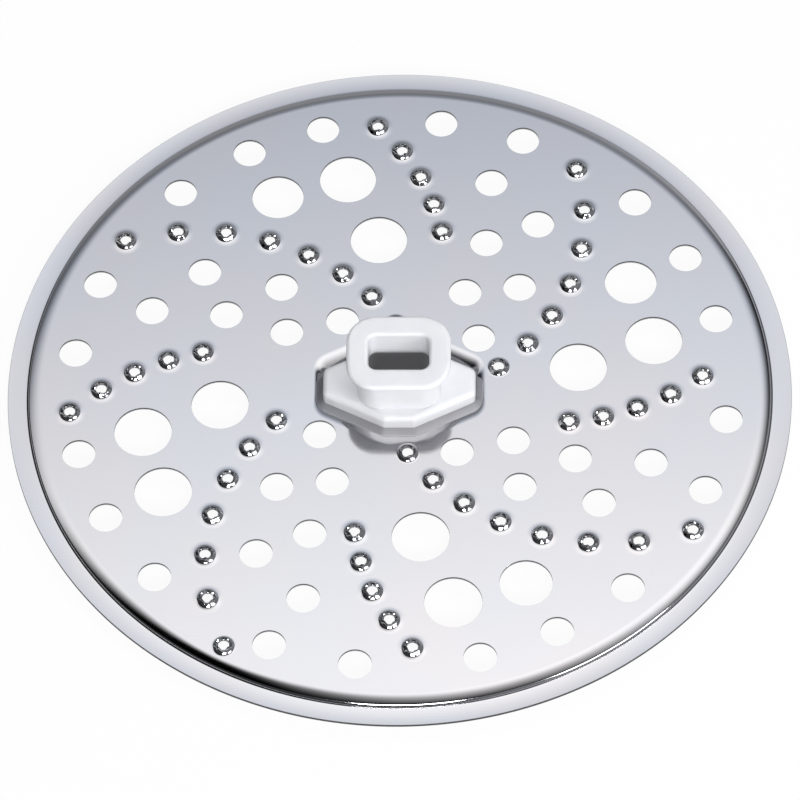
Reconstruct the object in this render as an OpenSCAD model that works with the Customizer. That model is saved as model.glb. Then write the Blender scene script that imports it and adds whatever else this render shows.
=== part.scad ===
/* [Disc] */
// Outer diameter of the pressed steel disc
disc_d = 142; // [138:1:160]
// Thickness of the steel sheet
sheet_t = 0.55; // [0.4:0.05:0.8]
// Width of the flat band round the edge
band_w = 3.6; // [2.4:0.1:5]
// How far the plate stands above the band
step_h = 1; // [0.8:0.1:1.4]
// Width of the rounded step between plate and band
step_run = 2.4; // [2:0.1:3]

/* [Holes] */
// Diameter of the small round holes
small_hole_d = 6; // [4:0.1:6.4]
// Diameter of the large round holes
large_hole_d = 10.4; // [8:0.1:11]
// Diameter of the middle-sized hole beside each pair of large ones
middle_hole_d = 9.5; // [7:0.1:10.4]

/* [Rasps] */
// Diameter of a rasp where it leaves the plate
rasp_foot_d = 4.2; // [3.6:0.1:4.6]
// Diameter of a rasp's crown at its teeth
rasp_tip_d = 2.7; // [2.5:0.1:3.2]
// Height of a rasp's teeth above the plate
rasp_h = 1.1; // [0.8:0.1:1.5]
// Side of the square hole punched through a rasp
rasp_hole = 2.1; // [1.8:0.1:2.4]
// Depth of the tears between a rasp's teeth
tear_depth = 0.5; // [0.3:0.05:0.7]

/* [Recess] */
// Length of the eight-sided recess round the hub, at the plate
recess_l = 31.4; // [31:0.1:33]
// Width of the eight-sided recess round the hub, at the plate
recess_w = 25.5; // [24:0.1:26]
// Width of the recess's straight ends
recess_end_w = 11.9; // [9:0.1:14]
// Length of the recess's straight sides
recess_side_l = 4.8; // [4:0.1:8]
// Corner radius of the recess
recess_corner_r = 4; // [2.5:0.1:5]
// Depth of the recess below the plate
recess_depth = 1.1; // [0.8:0.1:1.4]
// How far the recess's rounded wall leans in on its way down
recess_lean = 1.8; // [1.4:0.1:2]

/* [Hub flange] */
// Length of the hub's flange
flange_l = 27.6; // [25:0.1:28]
// Width of the hub's flange
flange_w = 16.8; // [16:0.1:19]
// Width of the flange's straight ends
flange_end_w = 5.6; // [4:0.1:8]
// Length of the flange's straight sides
flange_side_l = 5.5; // [4:0.1:8]
// Corner radius of the flange
flange_corner_r = 1.4; // [1.2:0.1:1.8]
// Thickness of the flange above the sheet
flange_t = 2.84; // [2:0.02:4]
// Thickness of the foot below the sheet
foot_t = 2; // [1.4:0.1:3]
// Radius of the flange's and the foot's outer edges
flange_edge_r = 1.1; // [0.4:0.1:1.2]
// How far the flange and the foot grip the sheet round its opening
grip_w = 2; // [1.2:0.1:2.4]

/* [Hub neck and lip] */
// Length of the neck
neck_l = 14.9; // [14.6:0.1:17]
// Width of the neck
neck_w = 12; // [11.8:0.1:13.5]
// Corner radius of the neck
neck_corner_r = 3.5; // [2.4:0.1:4]
// Radius where the neck meets the flange
neck_foot_r = 0.2; // [0.1:0.1:0.6]
// How far the lip overhangs the neck, all round
lip_reach = 1.95; // [1:0.05:2.4]
// Thickness of the lip
lip_t = 1.5; // [1.2:0.1:2]
// Height of the lip's top above the flange
lip_rise = 9.3; // [8:0.1:12]

/* [Drive slot] */
// Length of the drive slot
slot_l = 11; // [10:0.1:11.6]
// Width of the drive slot
slot_w = 7.3; // [6.5:0.1:8]
// Corner radius of the drive slot
slot_corner_r = 1.6; // [1:0.1:2]
// Depth of the drive slot, down to its shoulder
slot_depth = 5.9; // [4.5:0.1:6.5]
// Radius of the slot's upper edge
slot_mouth_r = 0.65; // [0.3:0.05:0.7]
// How much wider the socket under the shoulder is, on each side
socket_step = 0.9; // [0.5:0.1:1]
// Width of the lead-in at the socket's lower edge
socket_lead = 0.4; // [0.2:0.1:0.6]

/* [Hidden] */
$fn = 96;

// One overrun for all cuts, and the number of quarters that the patterns repeat in
over = 1;
quarters = 4;
full_turn = 360;
quarter = full_turn / quarters;
half_quarter = quarter / 2;

// Levels, counted up from the underside of the hub's foot
sheet_bottom = foot_t;
sheet_top = sheet_bottom + sheet_t;
plate_top = sheet_top + recess_depth;
band_top = plate_top - step_h;
flange_top = sheet_top + flange_t;
lip_top = flange_top + lip_rise;
shoulder = lip_top - slot_depth;

// Radii of the disc
disc_r = disc_d / 2;
band_r = disc_r - band_w;
plate_r = band_r - step_run;

// Places of the holes in one quarter: angle, and radius as a share of the disc's
small_hole_shares = [
    [14.4, 0.837], [28.5, 0.837], [43.5, 0.837], [67.8, 0.837], [83, 0.837],
    [36.3, 0.25], [60.2, 0.335], [45, 0.434], [63.7, 0.499], [55, 0.618], [69.9, 0.68]
];
large_hole_shares = [[7.2, 0.46], [12.2, 0.665]];
middle_hole_shares = [28.5, 0.675];
// The quarter in which the middle-sized hole is a large one
odd_quarter = 2;

// The rasps of an arm stand at even steps of radius on an arc. An arm is given as its number of rasps,
// its first radius and its own small turn; arc, pitch and first radius are shares of the disc's radius.
long_arc_share = 0.6075;
long_centre_share = 0.544;
long_centre_angle = 103.67;
long_pitch_share = 0.0933;
long_arm_shares = [[7, 0.2595, 0.34], [8, 0.192, -0.27], [7, 0.3295, -0.38], [8, 0.207, 0.32]];
short_arc_share = 0.656;
short_centre_share = 0.6525;
short_centre_angle = 145.97;
short_pitch_share = 0.082;
short_arm_shares = [[5, 0.4925, -0.12], [5, 0.5145, -0.33], [5, 0.4575, 0.25], [5, 0.4455, 0.19]];

// Steps in a rounded corner, in a rounded edge and in the recess's wall
corner_steps = 5;
edge_steps = 4;
wall_steps = 6;
// Corner radius of the sheet's opening for the hub
opening_corner_r = 0.5;

function polar(angle, r) = r * [cos(angle), sin(angle)];

// Direction from the centre at which a circle round the centre crosses an arm's arc
function arm_angle(r, arc_r, centre_r, centre_angle) =
    centre_angle - acos((r * r + centre_r * centre_r - arc_r * arc_r) / (2 * r * centre_r));

// Centres of the rasps of all four arms of one kind
function arm_points(arms, arc_share, centre_share, centre_angle, pitch_share) = [
    for (q = [0 : quarters - 1]) for (i = [0 : arms[q][0] - 1])
        let (r = disc_r * (arms[q][1] + pitch_share * i))
            polar(arms[q][2] + quarter * q
                + arm_angle(r, disc_r * arc_share, disc_r * centre_share, centre_angle), r)
];

function rasp_points() = concat(
    arm_points(long_arm_shares, long_arc_share, long_centre_share, long_centre_angle, long_pitch_share),
    arm_points(short_arm_shares, short_arc_share, short_centre_share, short_centre_angle,
        short_pitch_share)
);

// Outlines run counterclockwise
function box_outline(l, w) = [[l, -w] / 2, [l, w] / 2, [-l, w] / 2, [-l, -w] / 2];
function eight_sided(l, w, end_w, side_l) = [
    [l, -end_w] / 2, [l, end_w] / 2, [side_l, w] / 2, [-side_l, w] / 2,
    [-l, end_w] / 2, [-l, -end_w] / 2, [-side_l, -w] / 2, [side_l, -w] / 2
];
function flange_outline() = eight_sided(flange_l, flange_w, flange_end_w, flange_side_l);
function recess_outline() = eight_sided(recess_l, recess_w, recess_end_w, recess_side_l);

// Outline of the sheet's opening for the hub, and of what fills it
function opening_outline() = rounded(inset(flange_outline(), grip_w), opening_corner_r);

function unit(v) = v / norm(v);
function half_angle(a, b, c) = acos(unit(a - b) * unit(c - b)) / 2;

// Point at a given distance from both sides that meet in corner b, inwards
function inside_corner(a, b, c, distance) =
    b + unit(unit(a - b) + unit(c - b)) * distance / sin(half_angle(a, b, c));

// Arc that rounds corner b
function corner_arc(a, b, c, r) =
    let (centre = inside_corner(a, b, c, r),
         start = b + unit(a - b) * r / tan(half_angle(a, b, c)) - centre,
         first = atan2(start[1], start[0]),
         sweep = full_turn / 2 - 2 * half_angle(a, b, c))
    [for (i = [0 : corner_steps]) centre + polar(first + sweep * i / corner_steps, r)];

// A convex outline moved in by a distance, or out by a negative one
function inset(points, distance) =
    let (n = len(points))
    [for (i = [0 : n - 1]) inside_corner(points[(i + n - 1) % n], points[i], points[(i + 1) % n], distance)];

// A convex outline with its corners rounded
function rounded(points, r) =
    let (n = len(points))
    [for (i = [0 : n - 1]) each corner_arc(points[(i + n - 1) % n], points[i], points[(i + 1) % n], r)];

// The same, moved in by a distance while its corners keep their centres
function rounded_inset(points, r, distance) = rounded(inset(points, distance), r - distance);

// Quarter round of an edge, as pairs of inset and height, from the wall up to the flat
function edge_up(r, wall_inset, top) = [
    for (i = [0 : edge_steps])
        let (angle = quarter * i / edge_steps) [wall_inset + r * (1 - cos(angle)), top - r * (1 - sin(angle))]
];
// The same below a wall, from the flat up to the wall
function edge_down(r, wall_inset, bottom) = [
    for (i = [0 : edge_steps])
        let (angle = quarter * i / edge_steps) [wall_inset + r * (1 - sin(angle)), bottom + r * (1 - cos(angle))]
];
// Hollow quarter round that spreads a wall out at its foot
function hollow_foot(r, wall_inset, bottom) = [
    for (i = [0 : edge_steps])
        let (angle = quarter * i / edge_steps) [wall_inset - r * (1 - sin(angle)), bottom + r * (1 - cos(angle))]
];

// Solid through rounded outlines, one for each pair of inset and height, lowest first
module loft(points, r, profile) {
    rings = [for (step = profile) [for (p = rounded_inset(points, r, step[0])) [p[0], p[1], step[1]]]];
    n = len(rings[0]);
    last = len(rings) - 1;
    polyhedron(
        points = [for (ring = rings) each ring],
        faces = concat(
            [[for (i = [0 : n - 1]) i]],
            [for (k = [0 : last - 1]) for (i = [0 : n - 1])
                [k * n + i, (k + 1) * n + i, (k + 1) * n + (i + 1) % n, k * n + (i + 1) % n]],
            [[for (i = [n - 1 : -1 : 0]) last * n + i]]
        )
    );
}

// Section of the pressed sheet from its centre to its edge, with the rounded step
module sheet_section() {
    step_angle = 2 * atan(step_h / step_run);
    outer_r = step_run / sin(step_angle);
    inner_r = outer_r - sheet_t;
    function step_arc(r) = [
        for (i = [0 : edge_steps])
            let (angle = step_angle * i / edge_steps)
                [plate_r + r * sin(angle), plate_top - outer_r + r * cos(angle)]
    ];
    under = step_arc(inner_r);
    // The underside of the step runs on as steeply as it ends, down to that of the band
    slope_run = (under[edge_steps][1] - band_top + sheet_t) / tan(step_angle);
    polygon(concat(
        [[0, plate_top]], step_arc(outer_r),
        [[disc_r, band_top], [disc_r, band_top - sheet_t]],
        [[under[edge_steps][0] + slope_run, band_top - sheet_t]],
        [for (i = [edge_steps : -1 : 0]) under[i]],
        [[0, plate_top - sheet_t]]
    ));
}

// The recess's wall as pairs of inset and height, from its floor up to the plate
function recess_wall() = [
    for (i = [wall_steps : -1 : 0])
        let (angle = full_turn / 2 * i / wall_steps)
            [recess_lean * i / wall_steps, sheet_top + recess_depth * (1 + cos(angle)) / 2]
];

// Underside of the recess, one sheet thickness outside its floor and wall
module recess_underside() {
    steepest = atan(PI / 2 * recess_depth / recess_lean);
    spread = sheet_t * tan(steepest / 2);
    loft(recess_outline(), recess_corner_r, concat(
        [for (step = recess_wall()) step - [spread, sheet_t]],
        [[-spread, plate_top - sheet_t / 2]]));
}

// Round holes of all four quarters
module round_holes() {
    for (q = [0 : quarters - 1]) rotate(quarter * q) {
        for (place = small_hole_shares) hole(place, small_hole_d);
        for (place = large_hole_shares) hole(place, large_hole_d);
        hole(middle_hole_shares, q == odd_quarter ? large_hole_d : middle_hole_d);
    }
}
module hole(place, d) {
    translate(concat(polar(place[0], disc_r * place[1]), [band_top - sheet_t - over]))
        cylinder(h = step_h + sheet_t + 2 * over, d = d);
}

// Wall of one rasp, drawn up out of the plate
module rasp_wall() {
    cylinder(h = rasp_h, d1 = rasp_foot_d, d2 = rasp_tip_d, $fn = 32);
}

// What the punch leaves open: a square mouth, a flare below it, and tears between four pointed teeth
module rasp_punch() {
    half = rasp_hole / 2;
    flare_h = sheet_t + rasp_h / 2;
    flare_d = rasp_hole + (rasp_foot_d - rasp_tip_d) * flare_h / rasp_h;
    translate([-half, -half, -sheet_t - over]) cube([rasp_hole, rasp_hole, sheet_t + rasp_h + 2 * over]);
    translate([0, 0, -sheet_t]) cylinder(h = flare_h, d1 = flare_d, d2 = rasp_hole, $fn = 32);
    translate([0, 0, -sheet_t - over]) cylinder(h = over, d = flare_d, $fn = 32);
    tear_half_w = rasp_tip_d / 2 * sin(half_quarter);
    for (side = [-1, 1]) rotate([quarter, 0, side * half_quarter])
        translate([0, 0, -rasp_foot_d / 2]) linear_extrude(height = rasp_foot_d)
            polygon([[0, rasp_h - tear_depth], [tear_half_w, rasp_h], [tear_half_w, rasp_h + over],
                     [-tear_half_w, rasp_h + over], [-tear_half_w, rasp_h]]);
}

module at_rasps() {
    for (p = rasp_points()) translate([p[0], p[1], plate_top]) children();
}

// Pressed steel disc with its step, recess, holes and rasps
module grating_disc() {
    color("silver") difference() {
        union() {
            rotate_extrude() sheet_section();
            recess_underside();
            at_rasps() rasp_wall();
        }
        loft(recess_outline(), recess_corner_r, recess_wall());
        at_rasps() rasp_punch();
        round_holes();
        translate([0, 0, sheet_bottom - over]) linear_extrude(height = sheet_t + 2 * over)
            polygon(opening_outline());
    }
}

// Moulded hub with its flange, neck, lip, drive slot and socket
module drive_hub() {
    color("white") difference() {
        union() {
            hub_foot();
            hub_flange();
            hub_neck();
        }
        drive_slot();
    }
}

module hub_foot() {
    loft(flange_outline(), flange_corner_r, concat(
        edge_down(flange_edge_r, 0, 0), [[0, sheet_bottom]]));
}

module hub_flange() {
    loft(flange_outline(), flange_corner_r, concat(
        [[0, sheet_top]], edge_up(flange_edge_r, 0, flange_top)));
    translate([0, 0, sheet_bottom - foot_t / 2]) linear_extrude(height = (foot_t + flange_t) / 2 + sheet_t)
        polygon(opening_outline());
}

module hub_neck() {
    lip_r = lip_t / 2;
    loft(box_outline(neck_l + 2 * lip_reach, neck_w + 2 * lip_reach), neck_corner_r + lip_reach, concat(
        [[lip_reach, sheet_top]],
        hollow_foot(neck_foot_r, lip_reach, flange_top),
        [[lip_reach, lip_top - lip_t]],
        edge_down(lip_r, 0, lip_top - lip_t),
        edge_up(lip_r, 0, lip_top)));
}

// The slot with its rounded mouth, and the wider socket under its shoulder
module drive_slot() {
    loft(box_outline(slot_l, slot_w), slot_corner_r, concat(
        [[0, shoulder - over]],
        [for (i = [0 : edge_steps])
            let (angle = quarter * i / edge_steps)
                [-slot_mouth_r * (1 - cos(angle)), lip_top - slot_mouth_r * (1 - sin(angle))]],
        [[-slot_mouth_r, lip_top + over]]));
    loft(box_outline(slot_l, slot_w), slot_corner_r, [
        [-socket_step - socket_lead - over, -over], [-socket_step, socket_lead], [-socket_step, shoulder]]);
}

grating_disc();
drive_hub();
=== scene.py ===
"""Food processor disc: a pressed steel grating disc on a moulded hub, dressed for display."""

import math

import bmesh
import bpy
from mathutils import Matrix, Vector
from mathutils.geometry import intersect_point_line


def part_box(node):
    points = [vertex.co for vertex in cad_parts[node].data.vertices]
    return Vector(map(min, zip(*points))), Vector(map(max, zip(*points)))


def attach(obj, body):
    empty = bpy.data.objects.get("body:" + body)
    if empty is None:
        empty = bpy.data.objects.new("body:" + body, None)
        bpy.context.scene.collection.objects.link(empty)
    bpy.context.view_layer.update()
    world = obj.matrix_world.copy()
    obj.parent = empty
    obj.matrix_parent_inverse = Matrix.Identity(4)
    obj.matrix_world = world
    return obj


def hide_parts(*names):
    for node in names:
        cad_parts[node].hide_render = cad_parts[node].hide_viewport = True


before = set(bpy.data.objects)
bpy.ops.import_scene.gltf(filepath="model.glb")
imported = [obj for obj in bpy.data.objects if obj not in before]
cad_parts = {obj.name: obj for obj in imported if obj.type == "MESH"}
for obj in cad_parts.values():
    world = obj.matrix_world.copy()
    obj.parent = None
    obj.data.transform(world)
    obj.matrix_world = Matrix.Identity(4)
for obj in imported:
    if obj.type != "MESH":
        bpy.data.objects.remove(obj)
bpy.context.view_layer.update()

bl_info = {
    "name": "Food processor disc",
    "version": (1, 0, 0),
    "blender": (4, 5, 0),
    "location": "3D View > Sidebar > Disc",
    "description": "Presses a grating disc, moulds its hub and lights both on a pale table",
    "category": "Add Mesh",
}

DISC_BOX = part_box("grating_disc")
HUB_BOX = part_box("drive_hub")
DISC_RADIUS = min(*DISC_BOX[1].xy, *-DISC_BOX[0].xy)
MM = 0.001
FULL_TURN = 2 * math.pi
QUARTER = FULL_TURN / 4
QUARTERS = 4
# How a face was left by the punch
SHEARED, TORN = 1.0, 2.0
# Points round a hole and round a rasp, in their own meshes and in the plate that joins them
HOLE_STEPS, RASP_STEPS = 40, 36
# Room between a rasp's foot and the bend beside it
CLEARANCE = 0.05 * MM
# The recess deepens with this power of the way from its rim to the hub
RECESS_DRAW = 1.7
# A plate that was filled has more faces than this
LEAST_FACES = 20000
# Side of the picture in pixels, and width of the camera's sensor in millimetres
PICTURE, SENSOR = 800, 36.0

# Places of the round holes in one quarter: angle in degrees, and radius as a share of the disc's
SMALL_HOLES = (
    (14.4, 0.837), (28.5, 0.837), (43.5, 0.837), (67.8, 0.837), (83, 0.837),
    (36.3, 0.25), (60.2, 0.335), (45, 0.434), (63.7, 0.499), (55, 0.618), (69.9, 0.68),
)
LARGE_HOLES = ((7.2, 0.46), (12.2, 0.665))
MIDDLE_HOLE = (28.5, 0.675)
# The quarter whose middle-sized hole is a large one
ODD_QUARTER = 2

# Arms of rasps: the arc's radius, its centre's radius and angle, the step from rasp to rasp, and each
# quarter's number of rasps, first radius and small turn. Lengths are shares of the disc's radius.
LONG_ARMS = (
    0.6075, 0.544, 103.67, 0.0933,
    ((7, 0.2595, 0.34), (8, 0.192, -0.27), (7, 0.3295, -0.38), (8, 0.207, 0.32)))
SHORT_ARMS = (
    0.656, 0.6525, 145.97, 0.082,
    ((5, 0.4925, -0.12), (5, 0.5145, -0.33), (5, 0.4575, 0.25), (5, 0.4455, 0.19)))

# How far each rasp's square punch is turned, in degrees, arm by arm
RASP_TURNS = (
    (10, 40, 30, 25, 40, 5, 15), (45, 10, 35, 20, 36, 40, 10, 35),
    (44, 10, -10, 30, 5, 40, 45), (20, 30, 20, 5, 0, -10, -5, -12),
    (20, 5, 30, 25, 5), (30, 25, 35, -5, 5), (40, 10, 40, 45, 30), (45, 40, 5, 20, 35),
)
# Teeth of the rasps: side of the square mouth, height of each tooth, and depth of each tear. The last
# kind has the narrow foot that fits beside the rim or the recess.
RASP_KINDS = (
    (2.16, (1.04, 0.96, 1.10, 0.90), (0.34, 0.42, 0.30, 0.38)),
    (2.10, (0.94, 1.26, 0.88, 1.02), (0.40, 0.30, 0.36, 0.26)),
    (2.20, (1.10, 0.86, 1.00, 1.06), (0.28, 0.38, 0.42, 0.34)),
    (2.08, (0.90, 1.00, 1.28, 0.84), (0.36, 0.28, 0.32, 0.44)),
    (2.14, (1.00, 1.06, 0.94, 1.02), (0.32, 0.36, 0.34, 0.40)),
)


def length(name, description, millimetres):
    """A property that holds a length, given in millimetres."""
    return bpy.props.FloatProperty(
        name=name, description=description, default=millimetres * MM, min=0.0,
        precision=5, unit="LENGTH",
    )


def colour(name, description, red, green, blue):
    """A property that holds a colour."""
    return bpy.props.FloatVectorProperty(
        name=name, description=description, default=(red, green, blue), size=3,
        min=0.0, max=1.0, subtype="COLOR",
    )


def amount(name, description, default, largest=1.0):
    """A property that holds a plain number."""
    return bpy.props.FloatProperty(
        name=name, description=description, default=default, min=0.0, max=largest,
    )


class DiscSizes(bpy.types.PropertyGroup):
    """Sizes of the pressed steel disc"""

    disc_radius: length("Disc radius", "Radius of the disc's outer edge", DISC_RADIUS / MM)
    sheet: length("Sheet", "Thickness of the steel sheet", 0.55)
    plate_level: length("Plate level", "Height of the plate's upper face", 3.65)
    band_width: length("Band width", "Width of the dished band round the edge", 3.45)
    step_height: length("Step height", "How far the plate stands above the band", 1.0)
    step_run: length("Step run", "Width of the rounded step between plate and band", 2.55)
    step_hollow: length("Step hollow", "Radius of the hollow between step and band", 0.1)
    band_rise: length("Band rise", "How far the band rises towards the edge", 0.15)
    edge_round: length("Edge round", "Radius of the sheet's outer edge", 0.05)
    small_hole: length("Small hole", "Radius of the small holes", 3.0)
    large_hole: length("Large hole", "Radius of the large holes", 5.2)
    middle_hole: length("Middle hole", "Radius of the middle-sized holes", 4.75)
    rasp_foot: length("Rasp foot", "Radius at which the rasps leave the plate", 2.9)
    rasp_tight_foot: length("Tight rasp foot", "The same beside the rim or the recess", 2.3)
    rasp_wall: length("Rasp wall", "Radius of a rasp at the foot of its wall", 1.79)
    recess_length: length("Recess length", "Length of the eight-sided recess", 31.4)
    recess_width: length("Recess width", "Width of the eight-sided recess", 25.5)
    recess_end: length("Recess end", "Width of the recess's straight ends", 11.9)
    recess_side: length("Recess side", "Length of the recess's straight sides", 4.8)
    recess_corner: length("Recess corner", "Corner radius of the recess", 4.0)
    recess_depth: length("Recess depth", "Depth of the recess below the plate", 1.1)


class HubSizes(bpy.types.PropertyGroup):
    """Sizes of the moulded hub"""

    flange_length: length("Flange length", "Length of the flange", 27.6)
    flange_width: length("Flange width", "Width of the flange", 16.8)
    flange_end: length("Flange end", "Width of the flange's straight ends", 5.6)
    flange_side: length("Flange side", "Length of the flange's straight sides", 5.5)
    flange_corner: length("Flange corner", "Corner radius of the flange", 1.4)
    flange_edge: length("Flange edge", "Radius of the flange's upper and lower edges", 1.05)
    flange_thickness: length("Flange thickness", "Thickness of the flange above the sheet", 2.84)
    foot_thickness: length("Foot thickness", "Thickness of the foot below the sheet", 2.0)
    grip: length("Grip", "How far flange and foot grip the sheet", 2.0)
    neck_length: length("Neck length", "Length of the neck", 14.9)
    neck_width: length("Neck width", "Width of the neck", 12.0)
    neck_corner: length("Neck corner", "Corner radius of the neck", 3.5)
    neck_foot: length("Neck foot", "Radius where the neck meets the flange", 0.12)
    lip_reach: length("Lip reach", "How far the lip overhangs the neck", 1.95)
    lip_thickness: length("Lip thickness", "Thickness of the lip", 1.5)
    slot_length: length("Slot length", "Length of the drive slot", 11.0)
    slot_width: length("Slot width", "Width of the drive slot", 7.3)
    slot_corner: length("Slot corner", "Corner radius of the drive slot", 1.6)
    slot_depth: length("Slot depth", "Depth of the slot down to its shoulder", 5.9)
    slot_mouth: length("Slot mouth", "Radius of the slot's upper edge", 0.65)
    socket_step: length("Socket step", "How much wider the socket is on each side", 0.9)
    socket_lead: length("Socket lead", "Width of the socket's lead-in", 0.4)


class Finishes(bpy.types.PropertyGroup):
    """Colours of steel, plastic and table"""

    steel: colour("Steel", "Colour of the polished sheet", 0.462, 0.468, 0.49)
    steel_warm: colour("Steel, warm patches", "Colour of the sheet's warmer patches", 0.478, 0.468, 0.48)
    steel_gloss: amount("Steel roughness", "Roughness of the polished sheet", 0.10)
    # The sheared finish is partly real, a rough punched wall, and partly painted shade: its near-black colour
    # darkens the holes' walls and the disc's cut edge
    sheared: colour("Sheared steel, darkened as painted shade", "Colour of the holes' sheared walls", 0.075, 0.075, 0.08)
    sheared_gloss: amount("Sheared roughness", "Roughness of the holes' sheared walls", 0.42)
    torn: colour("Torn steel", "Colour inside the rasps, where the sheet is torn", 0.19, 0.195, 0.205)
    torn_gloss: amount("Torn roughness", "Roughness inside the rasps", 0.24)
    plastic: colour("Plastic", "Colour of the moulded hub", 0.86, 0.87, 0.895)
    plastic_warm: colour("Plastic, thick places", "Colour of the hub where it is thick", 0.83, 0.83, 0.865)
    # Painted shade: a dark colour laid on the socket's walls, where shade falls
    plastic_socket_shade: colour("Plastic, painted socket shade", "Painted shade on the socket's walls", 0.15, 0.15, 0.17)
    plastic_gloss: amount("Plastic roughness", "Roughness of the moulded hub", 0.32)
    table: colour("Table", "Colour of the pale table", 0.93, 0.93, 0.93)


class StudioSettings(bpy.types.PropertyGroup):
    """Camera and lights"""

    lens: bpy.props.FloatProperty(
        name="Lens", description="Focal length in millimetres", default=279.05, min=1.0)
    distance: length("Distance", "From the camera to the disc", 1123.5)
    elevation: bpy.props.FloatProperty(
        name="Elevation", description="Camera height over the table", subtype="ANGLE",
        default=math.radians(56.103))
    azimuth: bpy.props.FloatProperty(
        name="Azimuth", description="Camera's way round the disc", subtype="ANGLE",
        default=math.radians(1.79))
    roll: bpy.props.FloatProperty(
        name="Roll", description="Camera's roll", subtype="ANGLE", default=math.radians(-1.491))
    ceiling: amount("Ceiling light", "Strength of the soft box above the back", 2.14, 10.0)
    front: amount("Front light", "Power of the soft box in front, in watts", 4.3, 1000.0)
    key: amount("Key light", "Power of the soft box at the right front, in watts", 3.0, 1000.0)
    ambient: amount("Ambient", "Strength of the light from the room", 0.07, 10.0)
    shadow: amount("Shadow", "How much of the disc's shadow shows on the table", 0.06)


# Sections and outlines ----------------------------------------------------------------------------

def rounded_path(points, radii, steps):
    """An open path with a radius at each inner corner; a radius of zero leaves the corner as it is."""
    path = [Vector(points[0])]
    for before, corner, after, radius in zip(points, points[1:], points[2:], radii):
        corner = Vector(corner)
        back, on = (Vector(before) - corner).normalized(), (Vector(after) - corner).normalized()
        half = back.angle(on) / 2
        if radius <= 0 or half > QUARTER - 1e-3:
            path.append(corner)
            continue
        centre = corner + (back + on).normalized() * radius / math.sin(half)
        first = corner + back * radius / math.tan(half) - centre
        last = corner + on * radius / math.tan(half) - centre
        sweep = first.angle_signed(last)
        for i in range(steps + 1):
            turn = -sweep * i / steps
            path.append(centre + Vector((
                first.x * math.cos(turn) - first.y * math.sin(turn),
                first.x * math.sin(turn) + first.y * math.cos(turn))))
    return path + [Vector(points[-1])]


def sloping(stretches):
    """A path from (0, 0), from stretches of run, first and last slope, and number of steps."""
    path, along, down = [(0.0, 0.0)], 0.0, 0.0
    for run, first, last, steps in stretches:
        for i in range(1, steps + 1):
            share = i / steps
            path.append((along + run * share, down + run * (first * share + (last - first) * share ** 2 / 2)))
        along, down = path[-1]
    return path


def hold(path, gap):
    """Adds a point close to both ends of each long stretch, so that it is shaded flat."""
    held = [Vector(path[0])]
    for a, b in zip(path, path[1:]):
        a, b = Vector(a), Vector(b)
        if (b - a).length > 6 * gap:
            along = (b - a).normalized() * gap
            held += [a + along, b - along]
        held.append(b)
    return held


def below(path, thickness):
    """The other face of a sheet whose upper face follows a path that runs outwards."""
    under = []
    for i, point in enumerate(path):
        along = (path[min(i + 1, len(path) - 1)] - path[max(i - 1, 0)]).normalized()
        under.append(point + Vector((along.y, -along.x)) * thickness)
    under[0] = path[0] - Vector((0, thickness))
    return under


def offset_corner(before, corner, after, distance):
    """The point at a distance from both sides that meet in a corner, inwards."""
    back, on = (before - corner).normalized(), (after - corner).normalized()
    return corner + (back + on).normalized() * distance / math.sin(back.angle(on) / 2)


def rounded_outline(corners, radius, inset, steps, between=0):
    """A convex outline, counterclockwise, moved in and rounded, with points between its corners."""
    def each(points):
        return zip(points[-1:] + points[:-1], points, points[1:] + points[:1])
    corners = [Vector(c) for c in corners]
    moved = [offset_corner(a, b, c, inset) for a, b, c in each(corners)]
    radius = max(radius - inset, 1e-5)
    outline = []
    for before, corner, after in each(moved):
        centre = offset_corner(before, corner, after, radius)
        side_in, side_out = (corner - before).normalized(), (after - corner).normalized()
        first = math.atan2(-side_in.x, side_in.y)
        sweep = (math.atan2(-side_out.x, side_out.y) - first) % FULL_TURN
        for i in range(steps):
            turn = first + sweep * i / (steps - 1)
            outline.append(centre + radius * Vector((math.cos(turn), math.sin(turn))))
    full = []
    for i, point in enumerate(outline):
        full.append(point)
        if i % steps == steps - 1:
            following = outline[(i + 1) % len(outline)]
            full += [point.lerp(following, k / (between + 1)) for k in range(1, between + 1)]
    return full


def eight_sided(length_, width, end, side):
    """Eight corners, counterclockwise from the one at the right of the near side."""
    x, y, end, side = length_ / 2, width / 2, end / 2, side / 2
    return [(side, -y), (x, -end), (x, end), (side, y), (-side, y), (-x, end), (-x, -end), (-side, -y)]


def recess_corners(sizes):
    """Corners of the recess round the hub."""
    return eight_sided(sizes.recess_length, sizes.recess_width, sizes.recess_end, sizes.recess_side)


def flange_corners(hub):
    """Corners of the hub's flange."""
    return eight_sided(hub.flange_length, hub.flange_width, hub.flange_end, hub.flange_side)


def polar(angle, radius):
    """A point at an angle and a distance from the disc's centre."""
    return Vector((radius * math.cos(angle), radius * math.sin(angle)))


# Meshes -------------------------------------------------------------------------------------------

def add_rings(mesh, rings, closed=False):
    """Joins rings of points, one after another, into a wall."""
    rows = [[mesh.verts.new(point) for point in ring] for ring in rings]
    if closed:
        rows.append(rows[0])
    for row, following in zip(rows, rows[1:]):
        for i in range(len(row)):
            j = (i + 1) % len(row)
            mesh.faces.new((row[i], following[i], following[j], row[j]))


def mark_cut(mesh, how, chosen):
    """Notes on the faces whose middle is chosen how the punch left them."""
    cut = mesh.faces.layers.float.get("cut") or mesh.faces.layers.float.new("cut")
    for face in mesh.faces:
        if chosen(face.calc_center_median()):
            face[cut] = how


def new_object(name, mesh):
    """An object in the scene, from mesh code."""
    data = bpy.data.meshes.new(name)
    mesh.to_mesh(data)
    mesh.free()
    made = bpy.data.objects.new(name, data)
    bpy.context.scene.collection.objects.link(made)
    return made


def drop(*objects):
    """Removes helping objects and their meshes."""
    for each in objects:
        data = each.data
        bpy.data.objects.remove(each)
        bpy.data.meshes.remove(data)


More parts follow.
